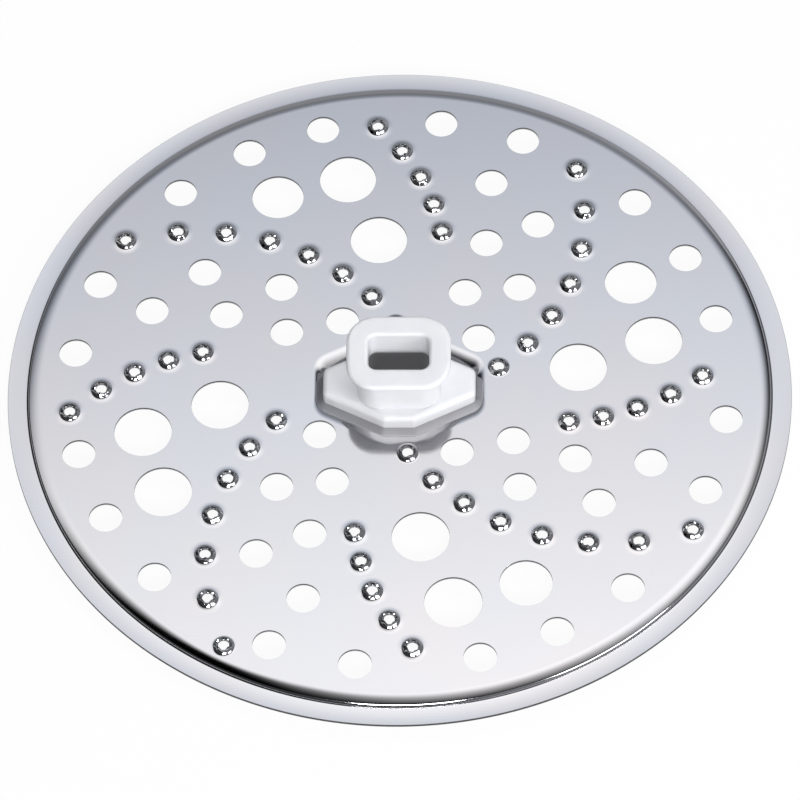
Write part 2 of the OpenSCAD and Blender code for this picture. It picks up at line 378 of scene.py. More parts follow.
def shade(made, levels=(), angle=math.radians(35)):
    """Smooth faces, with hard edges at corners and round flat faces on the given levels."""
    mesh = bmesh.new()
    mesh.from_mesh(made.data)
    flat = {
        face: any(all(abs(v.co.z - level) < 1e-7 for v in face.verts) for level in levels)
        for face in mesh.faces
    }
    for face in mesh.faces:
        face.smooth = True
    for edge in mesh.edges:
        sides = edge.link_faces
        edge.smooth = len(sides) == 2 and flat[sides[0]] == flat[sides[1]] and edge.calc_face_angle(0) < angle
    mesh.to_mesh(made.data)
    mesh.free()


# Nodes --------------------------------------------------------------------------------------------

class Nodes:
    """A node tree that nodes are added to."""

    def __init__(self, tree):
        self.tree = tree

    def add(self, kind, settings=None, inputs=None):
        """Adds a node: its settings first, then the values or links of its sockets."""
        node = self.tree.nodes.new(kind)
        for name, value in (settings or {}).items():
            setattr(node, name, value)
        for name, value in (inputs or {}).items():
            for one in value if isinstance(value, list) else [value]:
                self.feed(node.inputs[name], one)
        return node

    def feed(self, socket, value):
        """Links a socket to another node's output, or sets its value."""
        if isinstance(value, Level):
            value = value.socket
        if isinstance(value, bpy.types.NodeSocket):
            self.tree.links.new(value, socket)
        else:
            socket.default_value = value

    def level(self, kind, settings=None, inputs=None, output=0):
        """A node's output, ready for arithmetic."""
        return Level(self, self.add(kind, settings, inputs).outputs[output])

    def mix_colour(self, factor, first, second):
        """The output of a node that mixes two colours."""
        return self.add("ShaderNodeMix", {"data_type": "RGBA"}, {0: factor, 6: first, 7: second}).outputs[2]


class Level:
    """A value in a node tree; arithmetic on it adds Math nodes."""

    def __init__(self, nodes, socket):
        self.nodes, self.socket = nodes, socket

    def math(self, operation, *values):
        """The result of a Math node."""
        return self.nodes.level(
            "ShaderNodeMath", {"operation": operation}, dict(enumerate(values)))

    def __add__(self, other):
        return self.math("ADD", self, other)

    def __sub__(self, other):
        return self.math("SUBTRACT", self, other)

    def __rsub__(self, other):
        return self.math("SUBTRACT", other, self)

    def __mul__(self, other):
        return self.math("MULTIPLY", self, other)

    __radd__, __rmul__ = __add__, __mul__

    def between(self, low, high):
        """0 up to low, 1 from high on, and smooth between."""
        return self.nodes.level(
            "ShaderNodeMapRange", {"interpolation_type": "SMOOTHSTEP"},
            {"Value": self, "From Min": low, "From Max": high})

    def rising(self, low, high):
        """0 up to low, 1 from high on, and even between."""
        return self.nodes.level(
            "ShaderNodeMapRange", {"clamp": True}, {"Value": self, "From Min": low, "From Max": high})


def opaque(rgb):
    """A colour with full alpha."""
    return (*rgb, 1.0)


def new_material(name):
    """A material with an empty tree, and its output."""
    material = bpy.data.materials.new(name)
    material.use_nodes = True
    material.node_tree.nodes.clear()
    nodes = Nodes(material.node_tree)
    return material, nodes, nodes.add("ShaderNodeOutputMaterial")


def noise(nodes, place, scale, detail=2.0, roughness=0.5):
    """Soft random patches, about as many to a metre as the scale says."""
    return nodes.level(
        "ShaderNodeTexNoise", None,
        {"Vector": place, "Scale": scale, "Detail": detail, "Roughness": roughness})


def stretched(nodes, place, scale, turn=0.0):
    """Object coordinates turned and stretched, for marks that run one way."""
    return nodes.add(
        "ShaderNodeMapping", None,
        {"Vector": place, "Rotation": (0.0, 0.0, turn), "Scale": scale}).outputs[0]


def polished_steel(finish):
    """Rolled and polished sheet: fine grain one way, faint clouds and handling marks."""
    material, nodes, output = new_material("polished_steel")
    place = nodes.add("ShaderNodeTexCoord").outputs["Object"]
    clouds = noise(nodes, place, 38.0, 3.0)
    haze = noise(nodes, place, 140.0, 4.0, 0.6)
    grain = noise(nodes, stretched(nodes, place, (60.0, 4200.0, 60.0)), 1.0, 2.0)
    hair = noise(nodes, stretched(nodes, place, (30.0, 1500.0, 30.0), math.radians(4)), 1.0, 1.0)
    scratches = hair.between(0.66, 0.74)
    tone = nodes.mix_colour(clouds.between(0.3, 0.7), opaque(finish.steel), opaque(finish.steel_warm))
    gloss = finish.steel_gloss - 0.045 + 0.03 * clouds + 0.02 * haze + 0.03 * grain + 0.02 * scratches
    bump = nodes.add(
        "ShaderNodeBump", None,
        {"Strength": 0.35, "Distance": 4e-6, "Height": grain + 0.5 * haze})
    shader = nodes.add(
        "ShaderNodeBsdfPrincipled", None,
        {"Base Color": tone, "Metallic": 1.0, "Roughness": gloss, "Normal": bump.outputs[0]})
    nodes.feed(output.inputs["Surface"], shader.outputs[0])
    return material


def broken_steel(name, tone, gloss):
    """Steel where the punch sheared or tore it, with upright drag marks."""
    material, nodes, output = new_material(name)
    place = nodes.add("ShaderNodeTexCoord").outputs["Object"]
    drag = noise(nodes, nodes.add("ShaderNodeMapping", None, {
        "Vector": place, "Scale": (5000.0, 5000.0, 600.0)}).outputs[0], 1.0, 2.0)
    tone = nodes.mix_colour(drag, opaque(tone), opaque([c * 1.4 for c in tone]))
    bump = nodes.add("ShaderNodeBump", None, {"Strength": 0.5, "Distance": 1e-5, "Height": drag})
    shader = nodes.add(
        "ShaderNodeBsdfPrincipled", None,
        {"Base Color": tone, "Metallic": 1.0, "Roughness": gloss + 0.1 * drag, "Normal": bump.outputs[0]})
    nodes.feed(output.inputs["Surface"], shader.outputs[0])
    return material


def moulded_plastic(finish, inside_length, inside_width, shoulder):
    """White moulded plastic with a fine spark-eroded skin, and painted shade: a dark colour on the socket's
    walls and on the slot's walls just above its shoulder.
    """
    material, nodes, output = new_material("moulded_plastic")
    place = nodes.add("ShaderNodeTexCoord").outputs["Object"]
    x, y, z = (Level(nodes, way) for way in nodes.add("ShaderNodeSeparateXYZ", None, {0: place}).outputs)
    flow = noise(nodes, place, 160.0, 3.0)
    skin = noise(nodes, place, 9000.0, 2.0)
    dimples = noise(nodes, place, 1400.0, 3.0)
    # Painted shade: the socket, and the slot's walls up to just above the shoulder, take the dark colour
    socket_shade = (1.0 - x.math("ABSOLUTE", x).between(inside_length, inside_length + 0.12 * MM)) * (
        1.0 - y.math("ABSOLUTE", y).between(inside_width, inside_width + 0.12 * MM)) * (
        1.0 - z.between(shoulder - 0.1 * MM, shoulder + 0.8 * MM))
    tone = nodes.mix_colour(flow.between(0.3, 0.7), opaque(finish.plastic), opaque(finish.plastic_warm))
    tone = nodes.mix_colour(socket_shade, tone, opaque(finish.plastic_socket_shade))
    gloss = finish.plastic_gloss - 0.06 + 0.08 * flow + 0.06 * skin
    bump = nodes.add(
        "ShaderNodeBump", None,
        {"Strength": 0.3, "Distance": 1.2e-5, "Height": 0.6 * skin + dimples})
    shader = nodes.add(
        "ShaderNodeBsdfPrincipled", None,
        {"Base Color": tone, "Roughness": gloss, "IOR": 1.49, "Subsurface Weight": 0.5,
         "Subsurface Radius": (1.0, 1.0, 1.0), "Subsurface Scale": 1.2 * MM, "Normal": bump.outputs[0]})
    nodes.feed(output.inputs["Surface"], shader.outputs[0])
    return material


def pale_table(finish, shadow):
    """A white table that keeps a little of the shadow that falls on it."""
    material, nodes, output = new_material("pale_table")
    path = nodes.add("ShaderNodeLightPath").outputs
    seen = Level(nodes, path["Is Camera Ray"]) + Level(nodes, path["Is Glossy Ray"]) + Level(
        nodes, path["Is Transmission Ray"])
    place = nodes.add("ShaderNodeTexCoord").outputs["Object"]
    paper = noise(nodes, place, 30.0, 2.0)
    tone = nodes.mix_colour(paper, opaque(finish.table), opaque([c * 0.985 for c in finish.table]))
    lit = nodes.add("ShaderNodeBsdfDiffuse", None, {"Color": tone})
    white = nodes.add("ShaderNodeEmission", None, {"Color": (1.0, 1.0, 1.0, 1.0), "Strength": 1.0})
    mixed = nodes.add(
        "ShaderNodeMixShader", None,
        {0: (1.0 - shadow) * seen, 1: lit.outputs[0], 2: white.outputs[0]})
    nodes.feed(output.inputs["Surface"], mixed.outputs[0])
    return material


# The pressed disc ---------------------------------------------------------------------------------

def rasp_places(disc_radius):
    """Centre, turn and kind of each rasp."""
    places = []
    for kind, arms in enumerate((LONG_ARMS, SHORT_ARMS)):
        bow, reach, centre, pitch, quarters = arms
        for quarter, (count, first, nudge) in enumerate(quarters):
            for i in range(count):
                share = first + pitch * i
                cosine = (share * share + reach * reach - bow * bow) / (2 * share * reach)
                angle = math.radians(centre + nudge) - math.acos(cosine) + QUARTER * quarter
                turn = math.radians(RASP_TURNS[kind * QUARTERS + quarter][i])
                places.append((polar(angle, disc_radius * share), turn, (i * 3 + quarter + kind) % 4))
    return places


def nearest(outline, point):
    """Distance from a point to a closed outline."""
    ends = zip(outline, outline[1:] + outline[:1])
    feet = ((a, b, intersect_point_line(point, a, b)[1]) for a, b in ends)
    return min((a.lerp(b, min(1.0, max(0.0, share))) - point).length for a, b, share in feet)


def hole_places(sizes):
    """Centre and radius of each round hole."""
    places = []
    for quarter in range(QUARTERS):
        def put(place, radius):
            angle = math.radians(place[0]) + QUARTER * quarter
            places.append((polar(angle, sizes.disc_radius * place[1]), radius))
        for place in SMALL_HOLES:
            put(place, sizes.small_hole)
        for place in LARGE_HOLES:
            put(place, sizes.large_hole)
        put(MIDDLE_HOLE, sizes.large_hole if quarter == ODD_QUARTER else sizes.middle_hole)
    return places


def give_way(outline, outwards, obstacles, reach, spread):
    """How far each point of an outline moves, in or out from the centre, to clear the rasps near it."""
    moves = [0.0] * len(outline)
    for i, point in enumerate(outline):
        away = point.normalized() * (1 if outwards else -1)
        for centre in obstacles:
            while (point + away * moves[i] - centre).length < reach and moves[i] < reach:
                moves[i] += reach / 50
    near = range(-spread, spread + 1)
    wide = [max(moves[(i + k) % len(moves)] for k in near) for i in range(len(moves))]
    return [sum(wide[(i + k) % len(wide)] for k in near) / len(near) for i in range(len(wide))]


def rim_shell(mesh, sizes, rasps, steps=320):
    """Drawn step, dished band and cut edge, from the plate's upper face round to its lower one."""
    band_start = sizes.disc_radius - sizes.band_width
    seam = band_start - sizes.step_run
    top = sizes.plate_level
    low = top - sizes.step_height
    drawn = sloping(((1.85, 0.0, 0.38, 10), (0.28, 0.38, 1.4, 14), (0.22, 1.4, 2.5, 6)))
    width, height = drawn[-1]
    upper = [(seam + along * sizes.step_run / width, top - fallen * sizes.step_height / height)
             for along, fallen in drawn]
    shares = [i / 8 for i in range(1, 8)] + [0.985, 1.0]
    band = [(band_start + sizes.band_width * share, low + sizes.band_rise * share ** 2) for share in shares]
    radii = [0.0] * (len(upper) - 2) + [sizes.step_hollow] + [0.0] * (len(band) - 1)
    upper = rounded_path(upper + band, radii, 6)
    lower = below(upper, sizes.sheet)
    edge = rounded_path(
        [upper[-2], upper[-1], (sizes.disc_radius, lower[-1].y), lower[-2]],
        [sizes.edge_round, sizes.edge_round], 4)
    underside = lower[:-2:2] + [lower[-2]]
    section = upper[:-1] + edge[1:-1] + underside[::-1]
    start = [polar(FULL_TURN * i / steps, seam) for i in range(steps)]
    moves = give_way(start, True, rasps, sizes.rasp_tight_foot + CLEARANCE, 6)
    rings = []
    for radius, height in section:
        keep = max(0.0, 1 - (radius - seam) / sizes.step_run)
        rings.append([
            (*polar(FULL_TURN * i / steps, radius + moves[i] * keep), height) for i in range(steps)])
    add_rings(mesh, rings)
    return rings[0]


def along_ray(corners, angle):
    """Where a ray from the centre leaves a convex outline."""
    way = polar(angle, 1.0)
    for a, b in zip(corners, corners[1:] + corners[:1]):
        side = b - a
        turn = way.x * side.y - way.y * side.x
        if abs(turn) < 1e-12:
            continue
        reach = (a.x * side.y - a.y * side.x) / turn
        share = (a.x * way.y - a.y * way.x) / turn
        if reach > 0 and -1e-6 <= share <= 1 + 1e-6:
            return way * reach
    raise RuntimeError("the opening's outline doesn't go round the centre")


def recess_shell(mesh, sizes, hub, opening, rasps, steps=20):
    """Eight-sided recess, drawn softly from its rim down to the hub's seat, and the opening for the hub."""
    rim = rounded_outline(recess_corners(sizes), sizes.recess_corner, 0.0, 10, 11)
    # The seat's edge is hidden just under the flange
    seat = rounded_outline(flange_corners(hub), hub.flange_corner, 0.1 * MM, 10, 11)
    moves = give_way(rim, False, rasps, sizes.rasp_tight_foot + CLEARANCE, 3)
    hole = [along_ray(opening, math.atan2(point.y, point.x)) for point in seat]
    floor = sizes.plate_level - sizes.recess_depth

    def ring(share, drop_by):
        height = sizes.plate_level - sizes.recess_depth * share ** RECESS_DRAW - drop_by
        return [
            (*(a - a.normalized() * move * (1 - share)).lerp(b, share), height)
            for a, b, move in zip(rim, seat, moves)]

    shares = [i / steps for i in range(steps + 1)]
    rings = [ring(share, sizes.sheet) for share in shares[::4]]
    rings.append([(*point, floor - sizes.sheet) for point in hole])
    rings.append([(*point, floor) for point in hole])
    rings += [ring(share, 0.0) for share in reversed(shares)]
    add_rings(mesh, rings)
    return rings[-1]


def hole_edge(sizes, steps=HOLE_STEPS):
    """Edge of a punched hole of radius 1: a rolled-in lip, a sheared and a broken wall, a small burr."""
    lip, under = 0.004, -sizes.sheet
    mesh = bmesh.new()
    sheared, broken = -0.03 * MM, -0.65 * sizes.sheet
    section = [
        (1 + lip, under), (1 + lip / 2, under - 0.01 * MM), (1.003, under + 0.02 * MM), (1.0, broken),
        (1.0, sheared), (1 + 0.3 * lip, -0.01 * MM), (1 + lip, 0.0)]
    add_rings(mesh, [[(*polar(FULL_TURN * i / steps, r), z) for i in range(steps)] for r, z in section])
    # The sheared wall takes the near-black sheared finish, painted shade for the hole's dark wall
    mark_cut(mesh, SHEARED, lambda middle: broken < middle.z < sheared)
    return new_object("hole_edge", mesh), 1 + lip


def bezier(a, b, c, d, steps):
    """Points on a curve from a to d, without its first."""
    points = []
    for i in range(1, steps + 1):
        t = i / steps
        u = 1 - t
        points.append(u ** 3 * a + 3 * u * u * t * b + 3 * u * t * t * c + t ** 3 * d)
    return points


def rasp_crown(sizes, kind, foot, steps=RASP_STEPS):
    """One rasp, punched up from below: a round throat and a square mouth torn into four teeth.

    Its section is worked out in millimetres, from the foot's lower edge up through the throat and over
    the teeth to the skirt that runs out into the plate.
    """
    side, teeth, tears = RASP_KINDS[kind]
    foot, wall, sheet = foot / MM, sizes.rasp_wall / MM, sizes.sheet / MM
    skirt = sloping(((foot - wall - 0.2, 0.0, 0.13, 4), (0.2, 0.13, 1.0, 3)))
    columns = []
    for i in range(steps):
        angle = FULL_TURN * i / steps
        which = int(((angle + QUARTER / 2) % FULL_TURN) / QUARTER)
        off = ((angle + QUARTER / 2) % QUARTER) / QUARTER * 2 - 1
        corner = int((angle % FULL_TURN) / QUARTER)
        square = side / 2 / max(abs(math.cos(angle)), abs(math.sin(angle)))
        mouth = min(square, side * 0.58)
        ragged = 0.6 * math.sin(9 * angle + 1.3 * kind) + 0.4 * math.sin(14 * angle + 2.1 * kind)
        drop_to = 0.68 - 0.2 * tears[corner]
        height = teeth[which] + (drop_to - teeth[which]) * abs(off) ** 0.8 + 0.06 * ragged
        tip = Vector((mouth + 0.13 + 0.02 * ragged, height))
        outer = [Vector((foot - along, risen)) for along, risen in skirt]
        crumple = 0.07 * ragged
        outer += bezier(outer[-1], outer[-1] + Vector((crumple - 0.22, 0.22)),
                        tip + Vector((crumple + 0.1, -0.26)), tip, 7)
        lip = Vector((mouth - 0.03, height - 0.07))
        throat = Vector((0.98 + 0.02 * math.sin(5 * angle + kind), 0.25))
        inner = [Vector((foot, -sheet))]
        inner += bezier(inner[0], Vector((foot - 0.25, -sheet)), Vector((wall - 0.1, -sheet)),
                        Vector((wall - 0.36, -0.38)), 3)
        inner += bezier(inner[-1], Vector((wall - 0.6, -0.2)), throat - Vector((0.0, 0.2)), throat, 3)
        inner += bezier(throat, throat + Vector((0.0, 0.2)), lip - Vector((0.02, 0.25)), lip, 4)
        columns.append((angle, inner + outer[::-1]))
    mesh = bmesh.new()
    rings = [
        [(*polar(angle, column[k].x * MM), column[k].y * MM) for angle, column in columns]
        for k in range(len(columns[0][1]))
    ]
    add_rings(mesh, rings)
    cut = mesh.faces.layers.float.new("cut")
    for i, face in enumerate(mesh.faces):
        face[cut] = TORN if 3 * steps <= i < 10 * steps else 0.0
    return new_object(f"rasp_{kind}", mesh)


def pressing_tree():
    """Node tree that fills the plate round all its openings and sets a punched edge or a rasp in each."""
    tree = bpy.data.node_groups.new("Pressed plate", "GeometryNodeTree")
    face = tree.interface
    face.new_socket("Geometry", in_out="OUTPUT", socket_type="NodeSocketGeometry")
    wanted = (
        ("Geometry", "Geometry"), ("Plate level", "Float"), ("Sheet", "Float"), ("Lip", "Float"),
        ("Outline", "Object"), ("Hole edge", "Object"),
        *((f"Rasp {k}", "Object") for k in range(len(RASP_KINDS))), ("Finish", "Material"),
        ("Sheared finish", "Material"), ("Torn finish", "Material"))
    names = {
        name: face.new_socket(name, in_out="INPUT", socket_type=f"NodeSocket{kind}").identifier
        for name, kind in wanted}
    nodes = Nodes(tree)
    given = nodes.add("NodeGroupInput").outputs

    def stored(name, kind):
        """A value kept on the points or faces."""
        return nodes.add("GeometryNodeInputNamedAttribute", {"data_type": kind}, {"Name": name}).outputs[0]

    def object_shape(name, instance=False):
        """The mesh of an object that is given to the tree."""
        info = nodes.add("GeometryNodeObjectInfo", None, {"Object": given[name], "As Instance": instance})
        return info.outputs["Geometry"]

    def above(value, level):
        """Whether a value is greater than a level."""
        return nodes.add(
            "FunctionNodeCompare", {"data_type": "FLOAT", "operation": "GREATER_THAN"},
            {0: value, 1: level}).outputs[0]

    radius, turn = stored("radius", "FLOAT"), stored("turn", "FLOAT_VECTOR")
    turned = nodes.add("FunctionNodeEulerToRotation", None, {0: turn}).outputs[0]

    def split(shape, attribute):
        """Parts a shape into the points whose attribute is above zero, and the rest."""
        return nodes.add(
            "GeometryNodeSeparateGeometry", {"domain": "POINT"},
            {"Geometry": shape, "Selection": above(attribute, 1e-6)}).outputs

    openings, shells = split(given["Geometry"], radius)
    rasps, holes = split(openings, stored("is_rasp", "FLOAT"))

    def at(points, inputs):
        """A shape set on each point."""
        return nodes.add("GeometryNodeInstanceOnPoints", None, {"Points": points, **inputs}).outputs[0]

    def circle(steps):
        """A curve round a circle of radius 1."""
        return nodes.add(
            "GeometryNodeCurvePrimitiveCircle", {"mode": "RADIUS"},
            {"Resolution": steps, "Radius": 1.0}).outputs[0]

    wide = Level(nodes, radius) * Level(nodes, given["Lip"])
    loop_size = nodes.add("ShaderNodeCombineXYZ", None, {0: wide, 1: wide, 2: 1.0}).outputs[0]
    edge_size = nodes.add("ShaderNodeCombineXYZ", None, {0: radius, 1: radius, 2: 1.0}).outputs[0]
    hole_loops = at(holes, {"Instance": circle(HOLE_STEPS), "Scale": loop_size})
    rasp_loops = at(rasps, {"Instance": circle(RASP_STEPS), "Scale": edge_size, "Rotation": turned})
    outline = nodes.add("GeometryNodeMeshToCurve", None, {0: object_shape("Outline")}).outputs[0]
    loops = nodes.add("GeometryNodeJoinGeometry", None, {0: [hole_loops, rasp_loops, outline]}).outputs[0]
    loops = nodes.add("GeometryNodeRealizeInstances", None, {0: loops}).outputs[0]
    filled = nodes.add("GeometryNodeFillCurve", {"mode": "TRIANGLES"}, {"Curve": loops}).outputs[0]

    def raised(shape, height):
        """A shape moved up."""
        up = nodes.add("ShaderNodeCombineXYZ", None, {2: height}).outputs[0]
        return nodes.add("GeometryNodeTransform", None, {"Geometry": shape, "Translation": up}).outputs[0]

    level = Level(nodes, given["Plate level"])
    upper = raised(filled, level)
    lower = raised(nodes.add("GeometryNodeFlipFaces", None, {0: filled}).outputs[0], level - given["Sheet"])
    edges = at(holes, {"Instance": object_shape("Hole edge"), "Scale": edge_size})
    kinds = nodes.add("GeometryNodeJoinGeometry", None, {
        0: [object_shape(f"Rasp {k}", True) for k in reversed(range(len(RASP_KINDS)))]}).outputs[0]
    crowns = at(rasps, {
        "Instance": kinds, "Pick Instance": True, "Instance Index": stored("kind", "INT"), "Rotation": turned})
    whole = nodes.add(
        "GeometryNodeJoinGeometry", None, {0: [shells, upper, lower, edges, crowns]}).outputs[0]
    whole = nodes.add("GeometryNodeRealizeInstances", None, {0: whole}).outputs[0]
    whole = nodes.add("GeometryNodeMergeByDistance", None, {"Geometry": whole, "Distance": 1e-6}).outputs[0]
    whole = nodes.add(
        "GeometryNodeSetMaterial", None, {"Geometry": whole, "Material": given["Finish"]}).outputs[0]
    for least, finish in ((SHEARED, "Sheared finish"), (TORN, "Torn finish")):
        chosen = above(stored("cut", "FLOAT"), least - 0.5)
        whole = nodes.add("GeometryNodeSetMaterial", None, {
            "Geometry": whole, "Selection": chosen, "Material": given[finish]}).outputs[0]
    nodes.add("NodeGroupOutput", None, {0: whole})
    return tree, names


class DISC_OT_press(bpy.types.Operator):
    """Press the steel disc with its rim, recess, holes and rasps"""

    bl_idname = "disc.press"
    bl_label = "Press the disc"

    def execute(self, context):
        sizes, hub = context.scene.disc_sizes, context.scene.hub_sizes
        finishes = context.scene.disc_finishes
        steel = polished_steel(finishes)
        seam = sizes.disc_radius - sizes.band_width - sizes.step_run
        recess = rounded_outline(recess_corners(sizes), sizes.recess_corner, 0.0, 10)
        rasps = []
        for centre, turn, kind in rasp_places(sizes.disc_radius):
            crowded = min(seam - centre.length, nearest(recess, centre)) < sizes.rasp_foot + 0.1 * MM
            rasps.append((centre, turn, len(RASP_KINDS) - 1 if crowded else kind))
        centres = [place[0] for place in rasps]
        feet = [sizes.rasp_foot] * (len(RASP_KINDS) - 1) + [sizes.rasp_tight_foot]
        opening = rounded_outline(flange_corners(hub), hub.flange_corner, hub.grip, 4)
        mesh = bmesh.new()
        outer = rim_shell(mesh, sizes, centres)
        inner = recess_shell(mesh, sizes, hub, opening, centres)
        # The disc's cut edge takes the near-black sheared finish too, painted shade that hides the edge's
        # highlights
        mark_cut(mesh, SHEARED, lambda middle: middle.xy.length > sizes.disc_radius - 0.055 * MM)
        holes = hole_places(sizes)
        first = len(mesh.verts)
        for centre, *_ in holes + rasps:
            mesh.verts.new((*centre, sizes.plate_level))
        base = new_object("pressed_base", mesh)
        values = {
            "radius": [0.0] * first + [r for _, r in holes] + [feet[kind] for *_, kind in rasps],
            "is_rasp": [0.0] * (first + len(holes)) + [1.0] * len(rasps),
            "kind": [0] * (first + len(holes)) + [kind for *_, kind in rasps],
            "turn": [0.0] * 3 * (first + len(holes)) + [x for _, turn, _ in rasps for x in (0, 0, turn)],
        }
        for name, (kind, field) in {
            "radius": ("FLOAT", "value"), "is_rasp": ("FLOAT", "value"), "kind": ("INT", "value"),
            "turn": ("FLOAT_VECTOR", "vector")}.items():
            base.data.attributes.new(name, kind, "POINT").data.foreach_set(field, values[name])
        edge, lip = hole_edge(sizes)
        kinds = [rasp_crown(sizes, kind, foot) for kind, foot in enumerate(feet)]
        loops = bmesh.new()
        for ring in (outer, inner):
            corners = [loops.verts.new((x, y, 0)) for x, y, _ in ring]
            for a, b in zip(corners, corners[1:] + corners[:1]):
                loops.edges.new((a, b))
        outline = new_object("plate_outline", loops)
        tree, names = pressing_tree()
        modifier = base.modifiers.new("Pressed plate", "NODES")
        modifier.node_group = tree
        given = {
            "Plate level": sizes.plate_level, "Sheet": sizes.sheet, "Lip": lip, "Outline": outline,
            "Hole edge": edge, "Finish": steel,
            "Sheared finish": broken_steel("sheared_steel_and_painted_shade", finishes.sheared, finishes.sheared_gloss),
            "Torn finish": broken_steel("torn_steel", finishes.torn, finishes.torn_gloss),
            **{f"Rasp {k}": made for k, made in enumerate(kinds)}}
        for name, value in given.items():
            modifier[names[name]] = value
        context.view_layer.update()
        shape = bpy.data.meshes.new_from_object(base.evaluated_get(context.evaluated_depsgraph_get()))
        disc = bpy.data.objects.new("pressed_disc", shape)
        context.scene.collection.objects.link(disc)
        base.modifiers.clear()
        drop(base, edge, outline, *kinds)
        if len(shape.polygons) < LEAST_FACES:
            raise RuntimeError("the plate wasn't filled")
        for name in ("radius", "is_rasp", "kind", "turn", "cut"):
            if name in shape.attributes:
                shape.attributes.remove(shape.attributes[name])
        shade(disc, (sizes.plate_level, sizes.plate_level - sizes.sheet))
        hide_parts("grating_disc")
        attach(disc, "root")
        return {"FINISHED"}


# The moulded hub ----------------------------------------------------------------------------------

def box_corners(x, y):
    """Corners of a rectangle, counterclockwise from the one at the right of the near side."""
    return [(x / 2, -y / 2), (x / 2, y / 2), (-x / 2, y / 2), (-x / 2, -y / 2)]


class DISC_OT_mould(bpy.types.Operator):
    """Mould the hub with its flange, neck, lip, drive slot and socket"""

    bl_idname = "disc.mould"
    bl_label = "Mould the hub"

    def execute(self, context):
        hub, sizes = context.scene.hub_sizes, context.scene.disc_sizes
        plastic = moulded_plastic(
            context.scene.disc_finishes, hub.slot_length / 2 + hub.socket_step + 0.03 * MM,
            hub.slot_width / 2 + hub.socket_step + 0.03 * MM, HUB_BOX[1].z - hub.slot_depth)
        sheet_low = hub.foot_thickness
        sheet_high = sheet_low + sizes.sheet
        flange_top = sheet_high + hub.flange_thickness
        top = HUB_BOX[1].z
        shoulder = top - hub.slot_depth
        nose = hub.lip_thickness / 2
        flange = (flange_corners(hub), hub.flange_corner, 14)
        lip = (box_corners(hub.neck_length + 2 * hub.lip_reach, hub.neck_width + 2 * hub.lip_reach),
               hub.neck_corner + hub.lip_reach, 28)
        slot = (box_corners(hub.slot_length, hub.slot_width), hub.slot_corner, 28)
        gap = 0.02 * MM

        def rings(form, path):
            """Rings round a form's outline, one for each inset and height of a section."""
            corners, radius, steps = form
            return [[(*point, height) for point in rounded_outline(corners, radius, inset, steps)]
                    for inset, height in path]

        def section(points, radii):
            """Insets and heights of a rounded section."""
            return [tuple(point) for point in hold(rounded_path(points, radii, 8), 0.06 * MM)]

        edge, reach, out = hub.flange_edge, hub.lip_reach, -hub.socket_step
        flange_wall = section(
            [(hub.grip, sheet_high), (0.0, sheet_high), (0.0, flange_top), (edge + gap, flange_top)],
            [0.04 * MM, edge])
        neck = section(
            [(reach - hub.neck_foot - gap, flange_top), (reach, flange_top), (reach, top - hub.lip_thickness),
             (0.0, top - hub.lip_thickness), (0.0, top), (nose + 6 * gap, top)],
            [hub.neck_foot, 0.25 * MM, nose * 0.999, nose * 0.999])
        mouth = section(
            [(-hub.slot_mouth - 6 * gap, top), (0.0, top), (0.0, shoulder), (out, shoulder),
             (out, hub.socket_lead), (out - hub.socket_lead, 0.0), (out - hub.socket_lead - 6 * gap, 0.0)],
            [hub.slot_mouth, 0.15 * MM, 0.3 * MM, 0.1 * MM, 0.08 * MM])
        foot = section(
            [(edge + 6 * gap, 0.0), (0.0, 0.0), (0.0, sheet_low), (hub.grip, sheet_low)],
            [edge, 0.1 * MM])
        mesh = bmesh.new()
        walls = ((flange, flange_wall), (lip, neck), (slot, mouth), (flange, foot))
        add_rings(mesh, [ring for form, path in walls for ring in rings(form, path)], closed=True)
        bmesh.ops.recalc_face_normals(mesh, faces=mesh.faces)
        made = new_object("moulded_hub", mesh)
        shade(made, (0.0, sheet_high, sheet_low, flange_top, shoulder, top))
        made.data.materials.append(plastic)
        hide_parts("drive_hub")
        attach(made, "root")
        return {"FINISHED"}


# The studio ---------------------------------------------------------------------------------------

def soft_light(name, place, size, power):
    """A rectangular soft box that faces the disc."""
    data = bpy.data.lights.new(name, "AREA")
    data.shape = "RECTANGLE"
    data.size, data.size_y = size
    data.energy = power
    box = bpy.data.objects.new(name, data)
    box.location = place
    box.rotation_euler = (-Vector(place)).to_track_quat("-Z", "Y").to_euler()
    box.visible_camera = False
    bpy.context.scene.collection.objects.link(box)


def ceiling_box(strength, level):
    """A wide soft box overhead, strongest above the back, that cools towards its far edge."""
    mesh = bmesh.new()
    corners = [(-1.1, -0.3), (-1.1, 0.74), (0.55, 0.74), (0.55, -0.3)]
    mesh.faces.new([mesh.verts.new((x, y, level)) for x, y in corners])
    box = new_object("ceiling_box", mesh)
    box.visible_camera = False
    material, nodes, output = new_material("ceiling_cloth")
    across, depth, _ = (Level(nodes, way) for way in nodes.add("ShaderNodeSeparateXYZ", None, {
        0: nodes.add("ShaderNodeTexCoord").outputs["Object"]}).outputs)
    tint = nodes.mix_colour(depth.rising(0.24, 0.46), (1.0, 0.99, 0.985, 1.0), (0.83, 0.885, 0.98, 1.0))
    sides = across.between(-1.1, 0.08) * (1.0 - across.between(0.16, 0.52))
    back = depth.between(0.03, 0.26)
    front = depth.between(-0.18, 0.28) * across.between(-0.16, 0.06)
    along = (back + front - back * front) * (1.0 - 0.78 * depth.rising(0.19, 0.59))
    glow = nodes.add("ShaderNodeEmission", None, {"Color": tint, "Strength": strength * along * sides})
    nodes.feed(output.inputs["Surface"], glow.outputs[0])
    box.data.materials.append(material)


